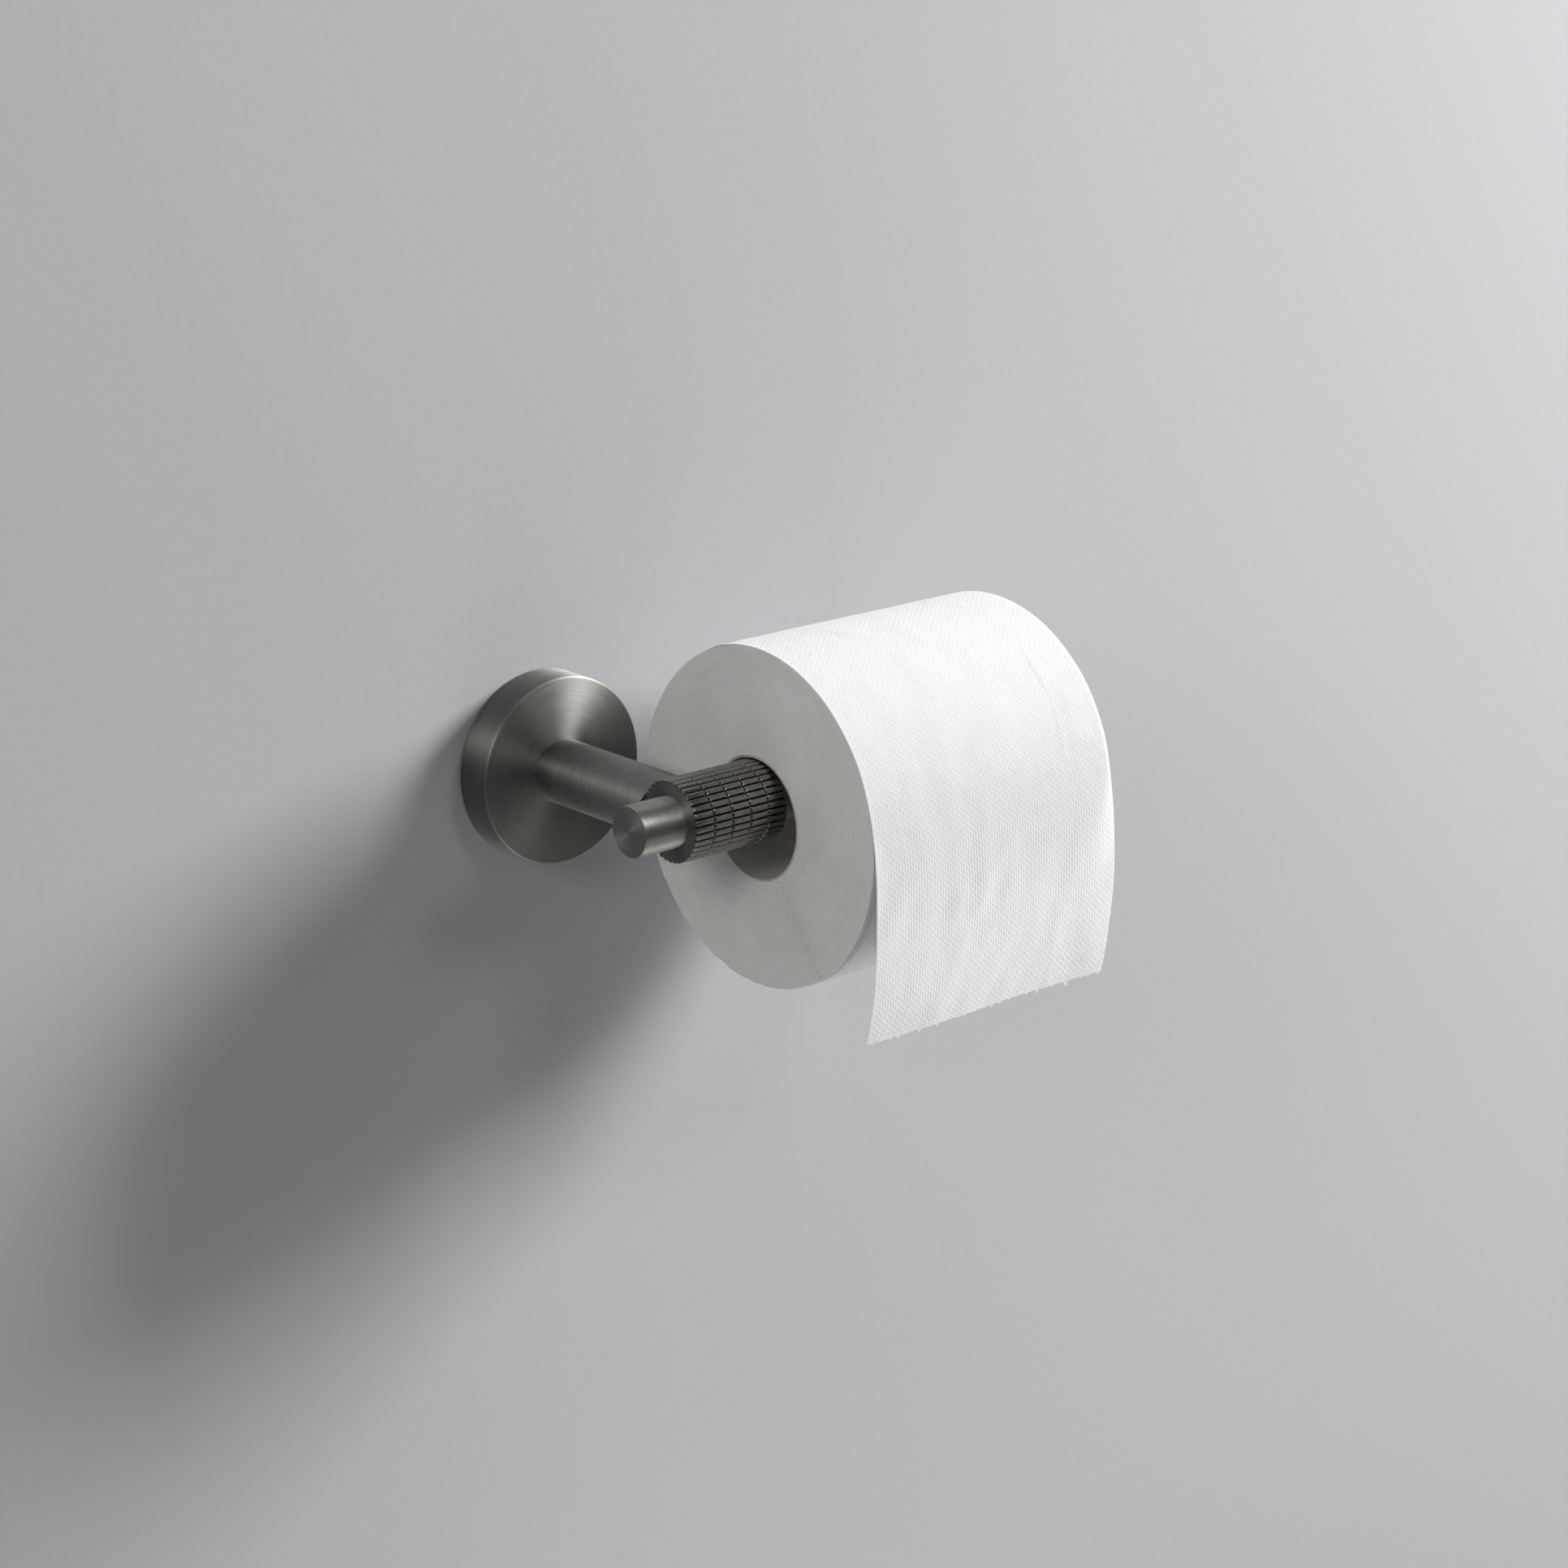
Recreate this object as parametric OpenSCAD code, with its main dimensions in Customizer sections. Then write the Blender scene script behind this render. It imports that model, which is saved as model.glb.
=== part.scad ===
// Wall-mounted toilet paper holder with a knurled collar, carrying a roll.
// Millimetres. The wall is the plane y = 0 and the holder stands out from it
// towards -Y. +Z is up. The cross rod runs along X: its short tip points to
// -X and its free end, over which the roll is slid, points to +X. The origin
// is the centre of the rose's back face.

/* [Rose and wall plate] */
// outer diameter of the round wall rose
rose_d = 60.6; // [54:0.2:72]
// thickness of the rose, from the wall to its front face
rose_t = 12.7; // [11.5:0.1:16]
// bright chamfer around the rose's front edge
rose_chamfer = 1.0; // [0.4:0.1:1.5]
// thickness of the rose's front and side walls
rose_wall = 4.2; // [3.6:0.1:4.6]
// distance between the two wall screw holes, on a vertical line
screw_spacing = 32; // [30:0.5:34]
// diameter of each wall screw hole
screw_hole_d = 4.5; // [4:0.1:5]

/* [Post] */
// diameter of the post
post_d = 20.8; // [18:0.2:22]
// distance from the wall to the axis of the cross rod
reach = 75.8; // [68:0.2:90]

/* [Cross rod and knurled sleeve] */
// diameter of the cross rod
rod_d = 16.2; // [14:0.2:17]
// length of the short tip, from the post's axis
tip_reach = 24; // [20:0.5:30]
// length of the free end, from the post's axis
arm_reach = 136; // [130:1:150]
// outer diameter of the knurled sleeve
sleeve_d = 25.9; // [25:0.1:27]
// how far the sleeve reaches from the post's axis, towards the tip
sleeve_tip_side = 8.4; // [8:0.1:12]
// how far the sleeve reaches from the post's axis, towards the free end
sleeve_arm_side = 27.1; // [25:0.1:30]
// number of ribs around the sleeve
rib_count = 36; // [30:1:40]
// number of equal bands that the ring grooves make
band_count = 5; // [4:1:6]

/* [Paper roll] */
// diameter of the roll
roll_d = 108; // [90:1:110]
// width of the roll
roll_w = 100; // [96:1:102]
// inner diameter of the cardboard core
core_d = 38.2; // [37:0.1:42]
// where the roll's near face is, from the post's axis
roll_start = 25.05; // [20:0.05:30]

/* [Hidden] */
$fn = 96;
eps = 0.01;
// how far a cutter reaches past the surface it cuts
over = 1;

metal = [0.27, 0.27, 0.26];
bright = [0.72, 0.72, 0.72];
white = [0.95, 0.95, 0.95];
card = [0.55, 0.50, 0.46];

thread_gap = 0.02;
seat_gap = 0.1;

cavity_r = rose_d / 2 - rose_wall;
cavity_depth = rose_t - rose_wall;
plate_r = cavity_r - seat_gap;
plate_t = 6.5;
plate_relief_r = 9.5;
countersink_r = screw_hole_d;
groove_y = 3.4;
groove_depth = 2;
groove_floor = 0.4;

post_r = post_d / 2;
post_edge = 0.3;
m8_r = 4;
m8_hole_r = 4.2;
m8_length = 18;
m8_head_r = 6.5;
m8_head_t = 4.9;
m8_head_edge = 0.4;
m8_socket_af = 5;
m8_socket_depth = 2.8;
washer_r = 8;
washer_t = 1.2;
tap_extra = 4;
drill_angle = 118;

pin_r = 1.25;
pin_offset = 7.4;
pin_in_rose = 3;
pin_in_post = 5;
pin_edge = 0.2;
pin_end_gap = 0.2;

m4_r = 2;
grub_length = 5;
grub_point = 1.3;
grub_point_r = 0.6;
grub_socket_af = 2;
grub_socket_depth = 1.8;
grub_recess = 0.7;

m6_r = 3;
m6_hole_r = 3.15;
stud_in_post = 11;
stud_in_rod = 9;
stud_edge = 0.5;
stud_end_gap = 0.5;

rod_r = rod_d / 2;
rod_edge = 0.5;
sleeve_r = sleeve_d / 2;
sleeve_bore_r = rod_r + 0.08;
sleeve_edge = 0.5;
bore_edge = 0.55;
rib_depth = 0.75;
rib_groove_share = 0.32;
cutter_extra = 0.3;
ring_depth = 0.8;
ring_half_w = 0.55;

core_r = core_d / 2;
core_wall = 1;
core_gap = 0.3;
roll_r = roll_d / 2;
roll_z = sleeve_r + core_gap - core_r;
layer_gap = 0.02;

sheet_gap = 0.3;
sheet_t = 0.5;
sheet_r = roll_r + sheet_gap;
sheet_start_angle = 60;
sheet_leave_angle = 165;
arc_steps = 42;
hang_steps = 24;
// where the hanging sheet's lower end and lower curve handle are from the roll's
// axis, [towards the wall, up], for a roll of the drawn radius
drawn_roll_r = 54;
hang_handle_low = [-59.0, -33];
hang_end = [-50.4, -61];
hang_handle_length = 13;

// turn a solid drawn along +Z so that it points out from the wall
module out_from_wall() { rotate([90, 0, 0]) children(); }

// turn a solid drawn along +Z so that it points along +X
module along_rod() { rotate([0, 90, 0]) children(); }

// rod with a chamfer at each end
module chamfered_rod(r, length, edge) {
    rotate_extrude()
        polygon([[0, 0], [r - edge, 0], [r, edge], [r, length - edge],
                 [r - edge, length], [0, length]]);
}

// tapped blind hole with the drill's cone at its end
module blind_hole(r, depth) {
    cone = r / tan(drill_angle / 2);
    rotate_extrude()
        polygon([[0, -eps], [r, -eps], [r, depth], [0, depth + cone]]);
}

module ring(outer_r, inner_r, length) {
    difference() {
        cylinder(r = outer_r, h = length);
        translate([0, 0, -over]) cylinder(r = inner_r, h = length + 2 * over);
    }
}

module hex_socket(across_flats, depth) {
    cylinder(r = across_flats / 2 / cos(30), h = depth, $fn = 6);
}

// fixed to the wall by two countersunk screws, inside the rose
module wall_plate() {
    color(bright) difference() {
        out_from_wall() rotate_extrude() polygon([
            [plate_relief_r, 0], [plate_r, 0],
            [plate_r, groove_y - groove_depth - groove_floor],
            [plate_r - groove_depth, groove_y - groove_floor],
            [plate_r - groove_depth, groove_y + groove_floor],
            [plate_r, groove_y + groove_depth + groove_floor],
            [plate_r, plate_t], [plate_relief_r, plate_t]]);
        for (side = [-1, 1])
            translate([0, 0, side * screw_spacing / 2])
                out_from_wall() wall_screw_hole();
    }
}

module wall_screw_hole() {
    hole_r = screw_hole_d / 2;
    rotate_extrude() polygon([
        [0, -eps], [hole_r, -eps], [hole_r, plate_t - (countersink_r - hole_r)],
        [countersink_r, plate_t], [countersink_r, plate_t + eps], [0, plate_t + eps]]);
}

// turned cup that hides the wall plate
module rose() {
    r = rose_d / 2;
    color(metal) difference() {
        out_from_wall() rotate_extrude() polygon([
            [m8_hole_r, cavity_depth], [cavity_r, cavity_depth], [cavity_r, 0], [r, 0],
            [r, rose_t - rose_chamfer], [r - rose_chamfer, rose_t], [m8_hole_r, rose_t]]);
        translate([0, -groove_y, -cavity_r + over])
            rotate([180, 0, 0]) cylinder(r = m4_r, h = rose_wall + 2 * over);
        translate([pin_offset, -(rose_t - pin_in_rose), 0])
            out_from_wall() cylinder(r = pin_r, h = pin_in_rose + eps);
    }
}

// holds the rose on the wall plate from below
module rose_grub_screw() {
    r = m4_r - thread_gap;
    color(bright)
        translate([0, -groove_y, -(rose_d / 2 - grub_recess)])
            difference() {
                rotate_extrude() polygon([
                    [0, 0], [r, 0], [r, grub_length - grub_point],
                    [grub_point_r, grub_length], [0, grub_length]]);
                translate([0, 0, -eps]) hex_socket(grub_socket_af, grub_socket_depth);
            }
}

// plain turned post, with a saddle that seats on the sleeve's back
module post() {
    saddle_r = sleeve_r + seat_gap;
    post_length = reach - rose_t;
    color(metal) difference() {
        translate([0, -rose_t, 0]) out_from_wall() rotate_extrude() polygon([
            [0, 0], [post_r - post_edge, 0], [post_r, post_edge],
            [post_r, post_length], [0, post_length]]);
        translate([-post_r - over, -reach, 0]) along_rod()
            cylinder(r = saddle_r, h = 2 * (post_r + over));
        translate([0, -rose_t, 0]) out_from_wall()
            blind_hole(m8_r, m8_length - washer_t - rose_wall + tap_extra);
        translate([pin_offset, -rose_t, 0]) out_from_wall()
            translate([0, 0, -eps]) cylinder(r = pin_r, h = pin_in_post + eps);
        translate([0, -(reach - saddle_r - stud_in_post), 0])
            out_from_wall() cylinder(r = m6_r, h = stud_in_post + sleeve_r);
    }
}

// low-head cap screw that holds the rose on the post, from inside the rose
module post_screw() {
    head_y = cavity_depth - washer_t;
    color(bright) difference() {
        union() {
            translate([0, -head_y, 0]) rotate([-90, 0, 0])
                chamfered_rod(m8_head_r, m8_head_t, m8_head_edge);
            translate([0, -head_y + eps, 0]) out_from_wall()
                cylinder(r = m8_r - thread_gap, h = m8_length);
        }
        translate([0, -(head_y - m8_head_t) + eps, 0]) out_from_wall()
            hex_socket(m8_socket_af, m8_socket_depth);
    }
}

module washer() {
    color(bright) translate([0, -(cavity_depth - washer_t), 0]) out_from_wall()
        ring(washer_r, m8_hole_r, washer_t);
}

// small dowel that stops the post turning in the rose
module locating_pin() {
    length = pin_in_rose + pin_in_post - 2 * pin_end_gap;
    color(bright)
        translate([pin_offset, -(rose_t - pin_in_rose + pin_end_gap), 0]) out_from_wall()
            chamfered_rod(pin_r - thread_gap, length, pin_edge);
}

// threaded stud from the post, through the sleeve, into the rod
module bar_stud() {
    post_end = reach - sleeve_r - seat_gap;
    rod_back = reach - rod_r;
    stud_start = post_end - stud_in_post + stud_end_gap;
    stud_end = rod_back + stud_in_rod - stud_end_gap;
    color(bright) translate([0, -stud_start, 0]) out_from_wall()
        chamfered_rod(m6_r - thread_gap, stud_end - stud_start, stud_edge);
}

// solid bar: short tip to -X, free end to +X
module cross_rod() {
    color(metal) difference() {
        translate([-tip_reach, -reach, 0]) along_rod()
            chamfered_rod(rod_r, tip_reach + arm_reach, rod_edge);
        translate([0, -(reach - rod_r - over), 0]) out_from_wall()
            blind_hole(m6_r, stud_in_rod + over);
    }
}

// sleeve with straight ribs cut into bands by ring grooves
module knurled_sleeve() {
    length = sleeve_tip_side + sleeve_arm_side;
    band = length / band_count;
    color(metal) difference() {
        translate([-sleeve_tip_side, -reach, 0]) along_rod() difference() {
            rotate_extrude() polygon(concat(
                [[sleeve_bore_r + bore_edge, 0], [sleeve_r - sleeve_edge, 0],
                 [sleeve_r, sleeve_edge]],
                [for (i = [1 : band_count - 1], p = [-1, 0, 1])
                    [sleeve_r - ring_depth * (1 - abs(p)), i * band + p * ring_half_w]],
                [[sleeve_r, length - sleeve_edge], [sleeve_r - sleeve_edge, length],
                 [sleeve_bore_r + bore_edge, length],
                 [sleeve_bore_r, length - bore_edge], [sleeve_bore_r, bore_edge]]));
            for (i = [0 : rib_count - 1])
                rotate([0, 0, (i + 0.5) * 360 / rib_count]) rib_groove(length);
        }
        translate([0, -(reach - sleeve_r - over), 0]) out_from_wall()
            cylinder(r = m6_hole_r, h = sleeve_r);
    }
}

// V-shaped groove between two ribs, cut past the sleeve's surface
module rib_groove(length) {
    surface_half_w = PI * sleeve_r / rib_count * rib_groove_share;
    half_w = surface_half_w * (rib_depth + cutter_extra) / rib_depth;
    translate([0, 0, -over]) linear_extrude(length + 2 * over)
        polygon([[sleeve_r - rib_depth, 0], [sleeve_r + cutter_extra, -half_w],
                 [sleeve_r + cutter_extra, half_w]]);
}

module on_roll_axis() {
    translate([roll_start, -reach, roll_z]) along_rod() children();
}

// cardboard tube, hanging on the sleeve
module roll_core() {
    color(card) on_roll_axis() ring(core_r + core_wall, core_r, roll_w);
}

// the wound paper
module paper_roll() {
    color(white) on_roll_axis() ring(roll_r, core_r + core_wall + layer_gap, roll_w);
}

// points of the sheet's side view about the roll's axis, [towards the wall, up]
function on_arc(r, angle) = [r * cos(angle), r * sin(angle)];
function bezier(a, b, c, d, t) =
    pow(1 - t, 3) * a + 3 * t * pow(1 - t, 2) * b + 3 * t * t * (1 - t) * c
    + pow(t, 3) * d;
function leave_direction() = [-sin(sheet_leave_angle), cos(sheet_leave_angle)];
function hang_scale(r) = r / (drawn_roll_r + sheet_gap);
function hang_point(t) =
    let (start = on_arc(sheet_r, sheet_leave_angle), k = hang_scale(sheet_r))
    bezier(start, start + hang_handle_length * leave_direction(),
           k * hang_handle_low, k * hang_end, t);
function sheet_path() = concat(
    [for (i = [0 : arc_steps - 1])
        on_arc(sheet_r, sheet_start_angle
               + i * (sheet_leave_angle - sheet_start_angle) / arc_steps)],
    [for (i = [0 : hang_steps]) hang_point(i / hang_steps)]);
function unit(v) = v / norm(v);
function path_normal(path, i) =
    let (last = len(path) - 1,
         along = unit(path[min(i + 1, last)] - path[max(i - 1, 0)]))
    [along[1], -along[0]];

// the loose end: over the top of the roll, down its front, and hanging
module hanging_sheet() {
    path = sheet_path();
    count = len(path);
    outer = [for (i = [count - 1 : -1 : 0]) path[i] + sheet_t * path_normal(path, i)];
    color(white) translate([roll_start, -reach, roll_z])
        rotate([90, 0, 90]) linear_extrude(roll_w) polygon(concat(path, outer));
}

wall_plate();
rose();
rose_grub_screw();
post();
post_screw();
washer();
locating_pin();
bar_stud();
cross_rod();
knurled_sleeve();
roll_core();
paper_roll();
hanging_sheet();
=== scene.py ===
"""Visual model of the wall-mounted toilet paper holder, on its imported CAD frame.

Metres. The wall is the plane y = 0, the holder stands out towards -Y, +Z is up, and the
cross rod runs along X with its free end towards +X.
"""

import math

import bmesh
import bpy
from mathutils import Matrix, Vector, noise


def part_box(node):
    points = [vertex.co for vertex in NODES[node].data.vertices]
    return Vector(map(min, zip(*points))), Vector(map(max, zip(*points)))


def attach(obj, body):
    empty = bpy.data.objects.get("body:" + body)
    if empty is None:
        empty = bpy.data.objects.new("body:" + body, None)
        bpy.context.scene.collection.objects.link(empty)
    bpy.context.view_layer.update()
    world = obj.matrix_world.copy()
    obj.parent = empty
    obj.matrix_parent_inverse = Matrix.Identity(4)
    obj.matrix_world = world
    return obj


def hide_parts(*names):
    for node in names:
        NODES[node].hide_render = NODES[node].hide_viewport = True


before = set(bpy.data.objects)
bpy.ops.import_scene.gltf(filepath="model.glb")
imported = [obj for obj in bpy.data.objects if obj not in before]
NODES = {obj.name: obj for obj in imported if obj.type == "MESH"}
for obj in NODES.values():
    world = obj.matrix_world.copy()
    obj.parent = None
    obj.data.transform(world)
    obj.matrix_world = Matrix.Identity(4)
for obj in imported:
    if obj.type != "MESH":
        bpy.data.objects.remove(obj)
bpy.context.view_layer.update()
MM = 0.001
TAU = 2 * math.pi


# ---------------------------------------------------------------- sizes from the frame


def middle(node, axis):
    """Middle of a node's box along an axis, 0 for X, 1 for Y and 2 for Z."""
    low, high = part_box(node)
    return (low[axis] + high[axis]) / 2


def extent(node, axis):
    """Length of a node's box along an axis."""
    low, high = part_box(node)
    return high[axis] - low[axis]


ROD_Y = middle("cross_rod", 1)
ROD_R = extent("cross_rod", 2) / 2
ROD_X0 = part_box("cross_rod")[0][0]
ROD_LENGTH = extent("cross_rod", 0)
SLEEVE_X0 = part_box("knurled_sleeve")[0][0]
SLEEVE_LENGTH = extent("knurled_sleeve", 0)
ROSE_R = extent("rose", 0) / 2
ROSE_T = extent("rose", 1)
POST_R = extent("post", 0) / 2
ROLL_X0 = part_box("paper_roll")[0][0]
ROLL_W = extent("paper_roll", 0)
ROLL_R = extent("paper_roll", 2) / 2
ROLL_Z = middle("paper_roll", 2)
CORE_OUT_R = extent("roll_core", 2) / 2


# ---------------------------------------------------------------- mesh helpers


def new_object(name, mesh):
    """Object in the scene, from a mesh, camera or lamp."""
    obj = bpy.data.objects.new(name, mesh)
    bpy.context.scene.collection.objects.link(obj)
    return obj


def smooth_by_angle(mesh, degrees):
    """Smooth shading, with edges sharper than the angle kept crisp."""
    mesh.shade_smooth()
    limit = math.radians(degrees)
    bm = bmesh.new()
    bm.from_mesh(mesh)
    bmesh.ops.recalc_face_normals(bm, faces=bm.faces)
    for edge in bm.edges:
        edge.smooth = len(edge.link_faces) == 2 and edge.calc_face_angle(0) < limit
    bm.to_mesh(mesh)
    bm.free()


def grid_object(name, rows, around, wrap_rows, uv_rows=None, sharp=40):
    """Object from rows of points. around closes each row, wrap_rows joins the last row
    to the first, and a row of one point is a pole."""
    verts, starts = [], []
    for row in rows:
        starts.append(len(verts))
        verts.extend(row)
    faces, face_uvs = [], []
    last = len(rows) if wrap_rows else len(rows) - 1
    for i in range(last):
        j = (i + 1) % len(rows)
        a, b = rows[i], rows[j]
        count = max(len(a), len(b))
        for k in range(count if around else count - 1):
            m = (k + 1) % count
            corners = [(i, k), (i, m), (j, m), (j, k)]
            if len(a) == 1:
                corners = [(i, 0), (j, m), (j, k)]
            elif len(b) == 1:
                corners = [(i, k), (i, m), (j, 0)]
            faces.append([starts[r] + c for r, c in corners])
            if uv_rows:
                wrapped = m < k
                face_uvs.extend(
                    uv_rows[r][count if wrapped and c == m else c] for r, c in corners
                )
    mesh = bpy.data.meshes.new(name)
    mesh.from_pydata(verts, [], faces)
    if uv_rows:
        layer = mesh.uv_layers.new(name="metres")
        for loop, uv in zip(layer.data, face_uvs):
            loop.uv = uv
    smooth_by_angle(mesh, sharp)
    return new_object(name, mesh)


def rounded(points, radius, steps=4, closed=True):
    """The outline with each corner replaced by a small curve."""
    most_of_side = 0.45
    out = []
    count = len(points)
    for i, p in enumerate(points):
        if not closed and i in (0, count - 1):
            out.append(p)
            continue
        before = Vector(points[i - 1]) - Vector(p)
        after = Vector(points[(i + 1) % count]) - Vector(p)
        reach = min(radius, before.length * most_of_side, after.length * most_of_side)
        a = Vector(p) + before.normalized() * reach
        b = Vector(p) + after.normalized() * reach
        for k in range(steps + 1):
            t = k / steps
            q = a * (1 - t) ** 2 + Vector(p) * 2 * t * (1 - t) + b * t**2
            out.append(tuple(q))
    return out


def around_post(s, r, angle):
    """A point s out from the wall and r from the post's axis."""
    return (r * math.cos(angle), -s, r * math.sin(angle))


def around_rod(s, r, angle):
    """A point at x = s and r from the rod's axis."""
    return (s, ROD_Y + r * math.cos(angle), r * math.sin(angle))


def lathe(name, profile, place, segments, closed):
    """Turned piece from (along, radius) points. A radius of 0 is a pole."""
    smallest_ring, sharp_degrees = 1e-7, 32
    rows = []
    for s, r in profile:
        if r < smallest_ring:
            rows.append([place(s, 0, 0)])
        else:
            rows.append([place(s, r, TAU * k / segments) for k in range(segments)])
    return grid_object(name, rows, around=True, wrap_rows=closed, sharp=sharp_degrees)


# ---------------------------------------------------------------- node helpers


class Nodes:
    """Short way to write a material's node tree."""

    def __init__(self, name):
        self.material = bpy.data.materials.new(name)
        self.material.use_nodes = True
        self.tree = self.material.node_tree
        self.shader = self.tree.nodes["Principled BSDF"]

    def add(self, kind, inputs=None, **settings):
        """A new node, with its input sockets and its settings filled in."""
        item = self.tree.nodes.new(kind)
        for key, value in settings.items():
            setattr(item, key, value)
        for key, value in (inputs or {}).items():
            self.put(item, key, value)
        return item

    def put(self, item, key, value):
        """Links an input to a socket, or sets it to a value."""
        if isinstance(value, bpy.types.NodeSocket):
            self.tree.links.new(value, item.inputs[key])
        else:
            item.inputs[key].default_value = value

    def math(self, operation, a, b=0.0):
        return self.add("ShaderNodeMath", {0: a, 1: b}, operation=operation).outputs[0]

    def hypotenuse(self, a, b):
        squares = self.math("ADD", self.math("MULTIPLY", a, a), self.math("MULTIPLY", b, b))
        return self.math("SQRT", squares)

    def spread(self, value, low, high, to_low, to_high):
        """The value mapped from one range to another, and held inside it."""
        item = self.add(
            "ShaderNodeMapRange",
            {"Value": value, 1: low, 2: high, 3: to_low, 4: to_high},
            clamp=True,
        )
        return item.outputs[0]

    def place(self):
        """Where the point is on its own object, in metres."""
        return self.add("ShaderNodeTexCoord").outputs["Object"]

    def xyz_from(self, centre):
        """The x, y and z outputs of the point's place measured from a centre."""
        moved = self.add(
            "ShaderNodeVectorMath", {0: self.place(), 1: centre}, operation="SUBTRACT"
        )
        return self.add("ShaderNodeSeparateXYZ", {0: moved.outputs[0]}).outputs

    def noise(self, scale, detail, roughness, vector, w=None):
        """Noise around 0.5. The scale is in waves a metre where the vector is a place."""
        item = self.add("ShaderNodeTexNoise")
        if w is not None:
            item.noise_dimensions = "4D"
            self.put(item, "W", w)
        self.put(item, "Vector", vector)
        self.put(item, "Scale", scale)
        self.put(item, "Detail", detail)
        self.put(item, "Roughness", roughness)
        return item.outputs["Fac"]

    def join(self, x, y, z):
        return self.add("ShaderNodeCombineXYZ", {0: x, 1: y, 2: z}).outputs[0]

    def mix(self, factor, a, b):
        """The colour a where the factor is 0, and b where it is 1."""
        item = self.add("ShaderNodeMix", data_type="RGBA")
        self.put(item, 0, factor)
        self.put(item, 6, a)
        self.put(item, 7, b)
        return item.outputs[2]

    def bump(self, height, distance, strength=1.0, normal=None):
        """A normal from a height of 0 to 1 that stands for a distance in metres."""
        item = self.add(
            "ShaderNodeBump", {"Height": height, "Distance": distance, "Strength": strength}
        )
        if normal is not None:
            self.put(item, "Normal", normal)
        return item.outputs[0]

    def set(self, **values):
        """Fills in the shader's sockets, named with _ for a space."""
        names = {key.replace("_", " ").lower(): key for key in values}
        for socket in self.shader.inputs:
            key = names.get(socket.name.lower())
            if key:
                self.put(self.shader, socket.name, values[key])


# ---------------------------------------------------------------- materials

GUNMETAL_DARK = (0.190, 0.186, 0.172, 1)
GUNMETAL_LIGHT = (0.330, 0.325, 0.305, 1)
BRUSH_ANISOTROPY = 0.88
BRUSH_LINES_PER_M = 3800
BRUSH_STROKES_AROUND = 2.2
BRUSH_DEEP_M = 0.00001


def turned_metal(name, axis, centre=(0, 0, 0), roughness=0.48, spread=BRUSH_ANISOTROPY,
                 shade=1.0):
    """Dark metal turned on a lathe: fine lines run round the axis. spread is how far the
    highlight is drawn out across them, and shade scales the metal's colour, so that
    pieces of the one metal can be painted lighter or darker as painted light and shade."""
    n = Nodes(name)
    dark = [shade * c for c in GUNMETAL_DARK[:3]] + [1]
    light = [shade * c for c in GUNMETAL_LIGHT[:3]] + [1]
    xyz = n.xyz_from(centre)
    across = [xyz[i] for i in range(3) if "XYZ"[i] != axis]
    along = xyz["XYZ".index(axis)]
    smallest_radius = 1e-5
    radius = n.math("MAXIMUM", n.hypotenuse(across[0], across[1]), smallest_radius)
    unit_a = n.math("MULTIPLY", n.math("DIVIDE", across[0], radius), BRUSH_STROKES_AROUND)
    unit_b = n.math("MULTIPLY", n.math("DIVIDE", across[1], radius), BRUSH_STROKES_AROUND)
    rings = n.join(unit_a, unit_b, n.math("MULTIPLY", radius, BRUSH_LINES_PER_M))
    steps = n.math("MULTIPLY", along, BRUSH_LINES_PER_M)
    lines = n.noise(1.0, 6, 0.55, rings, steps)
    cloud = n.noise(70, 3, 0.5, n.place())
    tone = n.math("ADD", n.math("MULTIPLY", lines, 0.8), n.math("MULTIPLY", cloud, 0.2))
    tangent = n.add("ShaderNodeTangent", direction_type="RADIAL", axis=axis)
    n.set(
        Base_Color=n.mix(n.spread(tone, 0.3, 0.7, 0, 1), dark, light),
        Metallic=1.0,
        Roughness=n.spread(lines, 0.3, 0.7, roughness - 0.04, roughness + 0.05),
        Anisotropic=spread,
        Anisotropic_Rotation=0.25,
        Tangent=tangent.outputs[0],
        Normal=n.bump(lines, BRUSH_DEEP_M, 0.5),
    )
    return n.material


def knurl_metal():
    """The same metal, cut rather than brushed: darker and smoother, with a painted highlight on
    its sharp edges.
    """
    dark, light = (0.140, 0.131, 0.119, 1), (0.310, 0.293, 0.270, 1)
    painted_edge_highlight = (0.42, 0.40, 0.37, 1)
    drags_along, drags_across, drag_deep = 300, 1800, 0.00003
    n = Nodes("knurl_metal")
    xyz = n.xyz_from((0, 0, 0))
    stretched = n.join(
        n.math("MULTIPLY", xyz[0], drags_along), n.math("MULTIPLY", xyz[1], drags_across),
        n.math("MULTIPLY", xyz[2], drags_across),
    )
    drag = n.noise(1.0, 5, 0.6, stretched)
    grit = n.noise(2600, 4, 0.6, n.place())
    edge_sharpness = n.add("ShaderNodeNewGeometry").outputs["Pointiness"]
    # Sharp edges are painted lighter here, a painted highlight.
    edges = n.spread(edge_sharpness, 0.50, 0.60, 0, 1)
    base = n.mix(n.spread(drag, 0.3, 0.7, 0, 1), dark, light)
    relief = n.math("ADD", drag, n.math("MULTIPLY", grit, 0.4))
    n.set(
        Base_Color=n.mix(edges, base, painted_edge_highlight),
        Metallic=1.0,
        Roughness=n.spread(drag, 0.3, 0.7, 0.22, 0.34),
        Normal=n.bump(relief, drag_deep, 0.5),
    )
    return n.material


def bare_steel():
    """Zinc-bright steel of the hidden fasteners and the wall plate."""
    dark, light = (0.42, 0.42, 0.41, 1), (0.62, 0.62, 0.60, 1)
    grain_deep = 0.00003
    n = Nodes("bare_steel")
    grain = n.noise(900, 5, 0.6, n.place())
    patch = n.noise(120, 3, 0.5, n.place())
    n.set(
        Base_Color=n.mix(patch, dark, light),
        Metallic=1.0,
        Roughness=n.spread(grain, 0.3, 0.7, 0.28, 0.46),
        Normal=n.bump(grain, grain_deep, 0.5),
    )
    return n.material


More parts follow.
